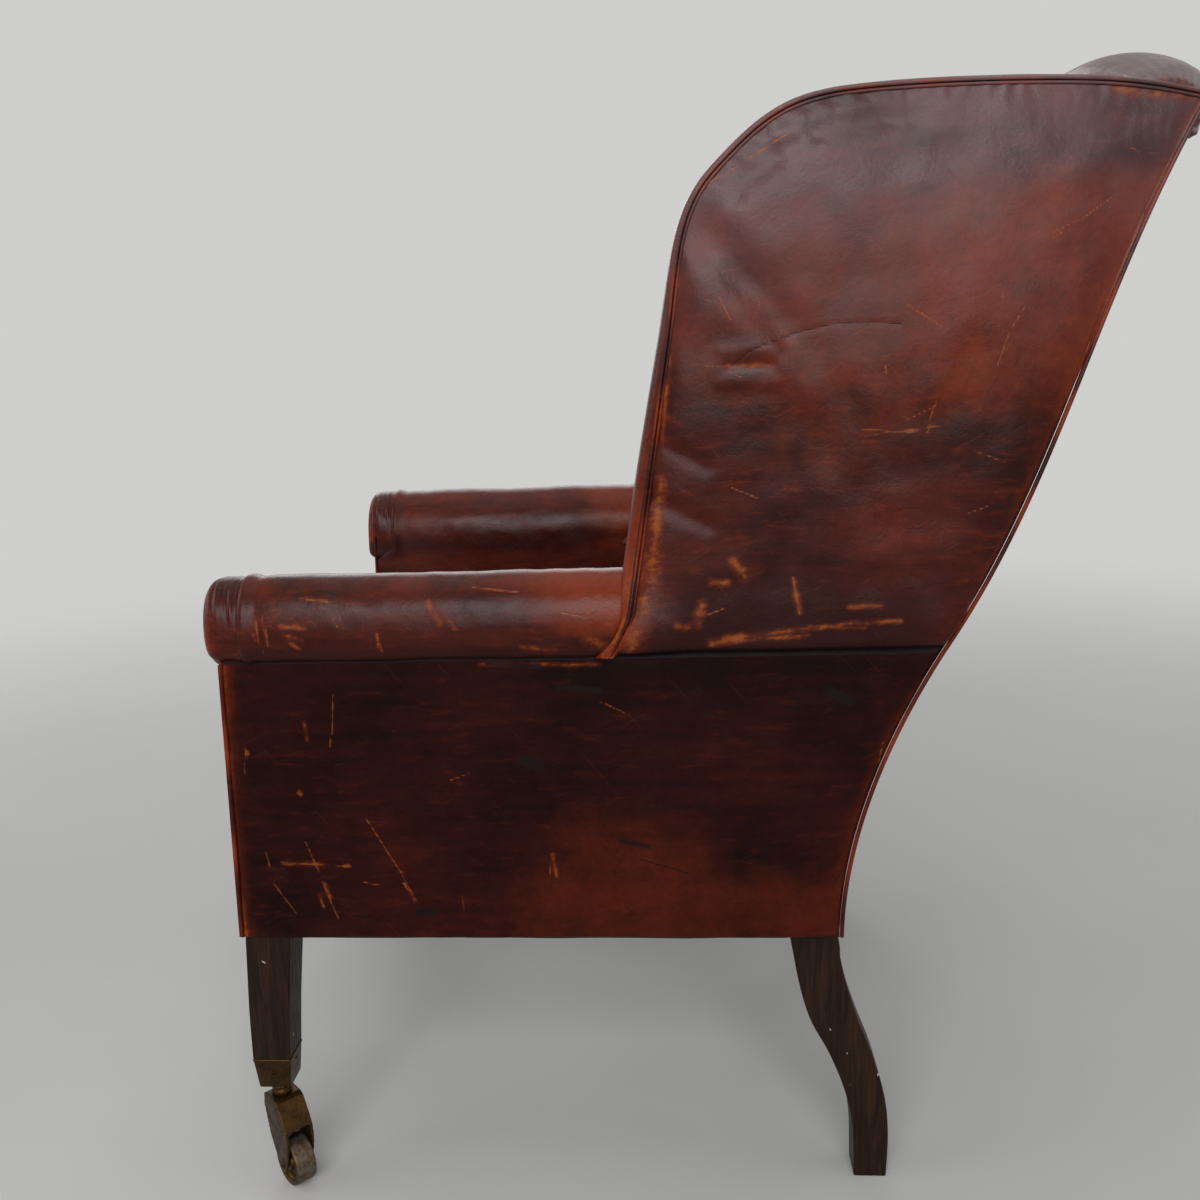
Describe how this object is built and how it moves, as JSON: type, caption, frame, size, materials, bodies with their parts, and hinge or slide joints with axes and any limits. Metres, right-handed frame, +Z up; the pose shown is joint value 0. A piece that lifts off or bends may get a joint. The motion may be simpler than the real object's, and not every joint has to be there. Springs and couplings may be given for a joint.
{
  "type": "worn leather wing armchair",
  "caption": "Tall worn brown leather club armchair with wings, scroll arms, a raked back with rolled head, loose seat cushion, sabre back legs and brass cup castors in front.",
  "frame": {"origin": "on the floor under the middle of the chair's box", "axes": "+Z up, -Y the way the sitter faces, +X to the sitter's left, which is the side the picture shows"},
  "size_m": [0.7012, 0.9692, 1.1153],
  "materials": {
    "leather": "waxed and worn, dark red-brown with orange-tan scuffs on edges and creases",
    "dark_oak": "dark stained oak, satin, nicked",
    "frame_timber": "plain sawn beech, hidden",
    "castor_brass": "aged brown brass, rubbed bright on edges",
    "spring_steel": "dull wire",
    "jute_webbing": "woven jute",
    "black_cloth": "thin woven bottoming cloth"
  },
  "bodies": {
    "chair": {"front_seat_rail": "frame_timber", "back_seat_rail": "frame_timber", "back_stay_rail": "frame_timber", "crest_rail": "frame_timber", "seat_webbing": "jute_webbing", "back_webbing": "jute_webbing", "bottom_cloth": "black_cloth", "seat_deck": "leather", "seat_front_border": "leather", "seat_cushion": "leather", "inside_back": "leather", "head_roll": "leather", "outside_back": "leather", "seat_spring_front_right": "spring_steel", "seat_spring_front_centre": "spring_steel", "seat_spring_front_left": "spring_steel", "seat_spring_middle_right": "spring_steel", "seat_spring_middle_centre": "spring_steel", "seat_spring_middle_left": "spring_steel", "seat_spring_rear_right": "spring_steel", "seat_spring_rear_centre": "spring_steel", "seat_spring_rear_left": "spring_steel", "front_leg_left": "dark_oak", "rear_post_left": "dark_oak", "side_seat_rail_left": "frame_timber", "arm_stump_left": "frame_timber", "arm_rail_left": "frame_timber", "wing_frame_left": "frame_timber", "arm_roll_left": "leather", "arm_facing_left": "leather", "outside_arm_left": "leather", "outside_wing_left": "leather", "inside_wing_left": "leather", "wing_border_left": "leather", "castor_cup_left": "castor_brass", "castor_cup_outer_pin_left": "castor_brass", "castor_cup_rear_pin_left": "castor_brass", "castor_neck_left": "castor_brass", "front_leg_right": "dark_oak", "rear_post_right": "dark_oak", "side_seat_rail_right": "frame_timber", "arm_stump_right": "frame_timber", "arm_rail_right": "frame_timber", "wing_frame_right": "frame_timber", "arm_roll_right": "leather", "arm_facing_right": "leather", "outside_arm_right": "leather", "outside_wing_right": "leather", "inside_wing_right": "leather", "wing_border_right": "leather", "castor_cup_right": "castor_brass", "castor_cup_outer_pin_right": "castor_brass", "castor_cup_rear_pin_right": "castor_brass", "castor_neck_right": "castor_brass"},
    "left_castor": {"castor_horn_left": "castor_brass", "castor_axle_left": "castor_brass"},
    "left_wheel": {"castor_wheel_left": "castor_brass"},
    "right_castor": {"castor_horn_right": "castor_brass", "castor_axle_right": "castor_brass"},
    "right_wheel": {"castor_wheel_right": "castor_brass"}
  },
  "joints": [
    {"name": "left_castor_swivel", "type": "hinge", "parent": "chair", "child": "left_castor", "pos_m": [0.314, -0.46451, 0.09], "axis": [0, 0, 1], "continuous": true},
    {"name": "left_wheel_spin", "type": "hinge", "parent": "left_castor", "child": "left_wheel", "pos_m": [0.32673, -0.45178, 0.0245], "axis": [-0.7071, 0.7071, 0], "continuous": true},
    {"name": "right_castor_swivel", "type": "hinge", "parent": "chair", "child": "right_castor", "pos_m": [-0.314, -0.46451, 0.09], "axis": [0, 0, 1], "continuous": true},
    {"name": "right_wheel_spin", "type": "hinge", "parent": "right_castor", "child": "right_wheel", "pos_m": [-0.32673, -0.45178, 0.0245], "axis": [0.7071, 0.7071, 0], "continuous": true}
  ]
}
